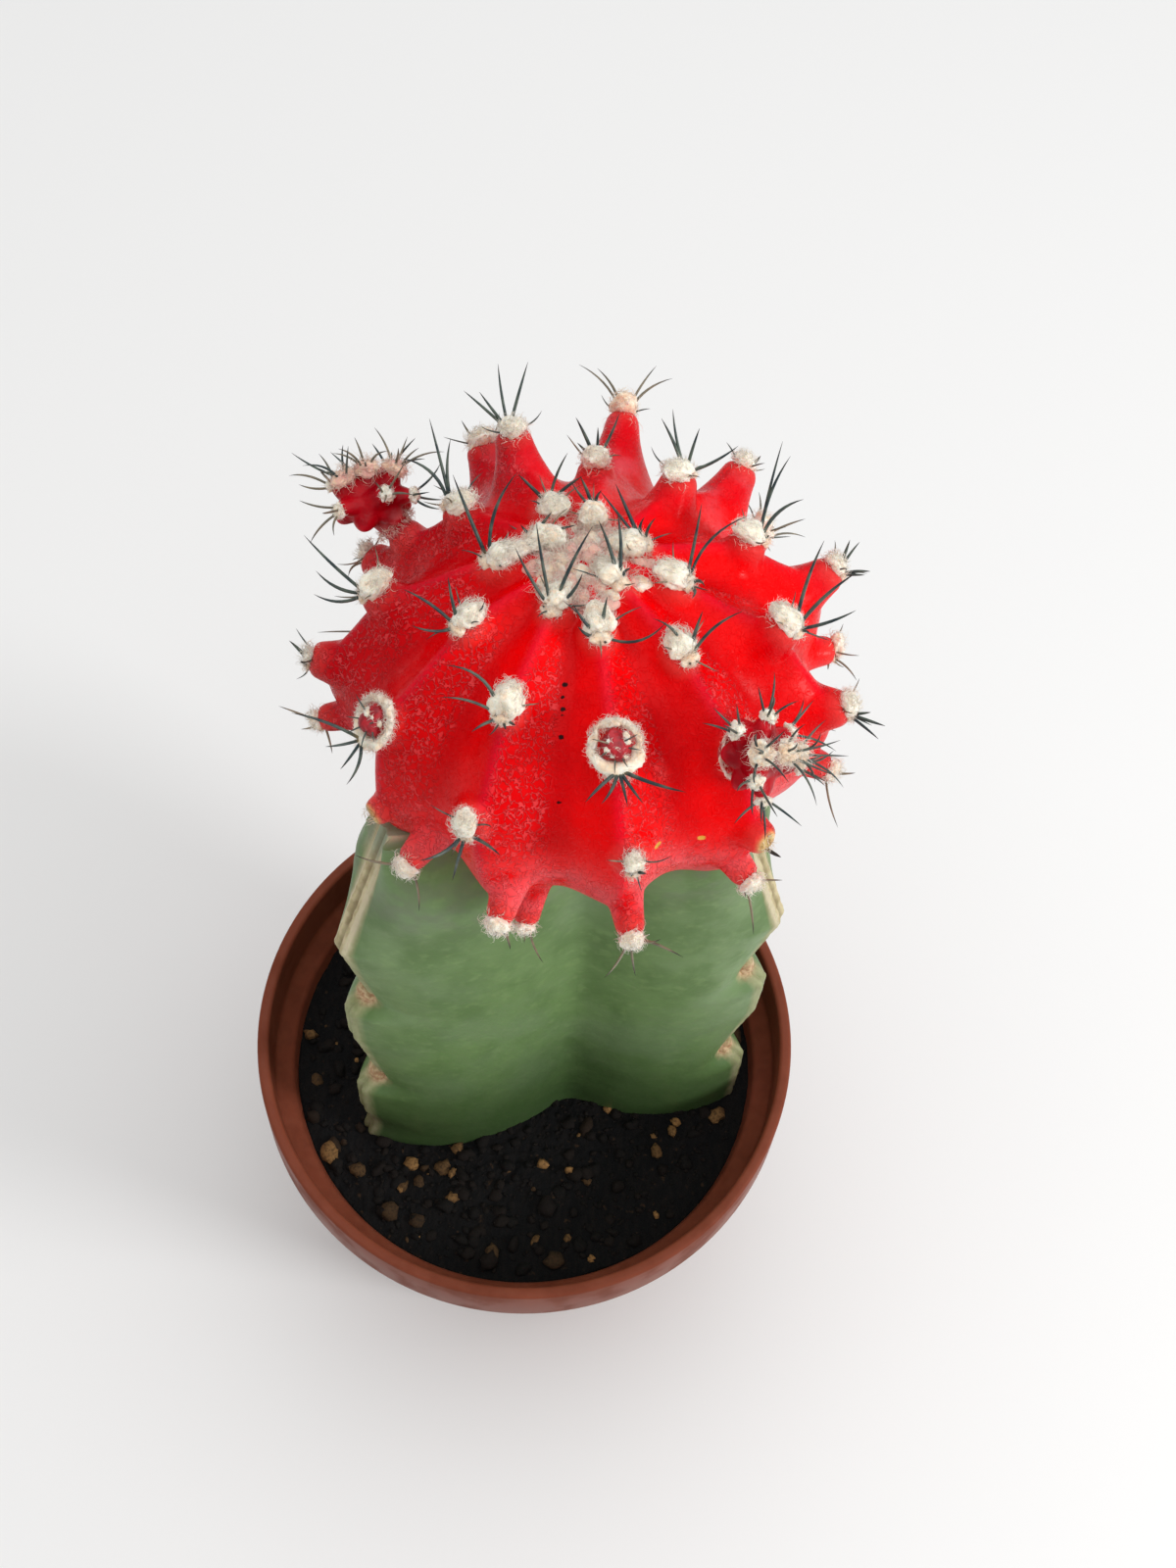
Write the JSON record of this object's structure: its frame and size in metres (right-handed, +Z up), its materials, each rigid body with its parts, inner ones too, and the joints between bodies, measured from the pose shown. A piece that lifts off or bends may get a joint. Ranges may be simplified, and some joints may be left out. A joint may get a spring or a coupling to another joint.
{
  "type": "potted moon cactus",
  "caption": "Red grafted cactus head with spiny tubercles on a green three-ribbed stem, planted in peat in a small round plastic nursery pot.",
  "frame": {"origin": "centre of the pot's flat underside, which stands on the table", "axes": "+Z up along the pot's axis, -Y towards the viewer of the picture"},
  "size_m": [0.0612, 0.0695, 0.1375],
  "materials": {
    "pot": "satin",
    "soil": "matte",
    "rootstock": "satin",
    "scion": "satin",
    "offset": "satin"
  },
  "bodies": {
    "root": {"pot": "pot", "soil": "soil", "rootstock": "rootstock", "scion": "scion", "offset_left": "offset", "offset_right": "offset"}
  },
  "joints": []
}
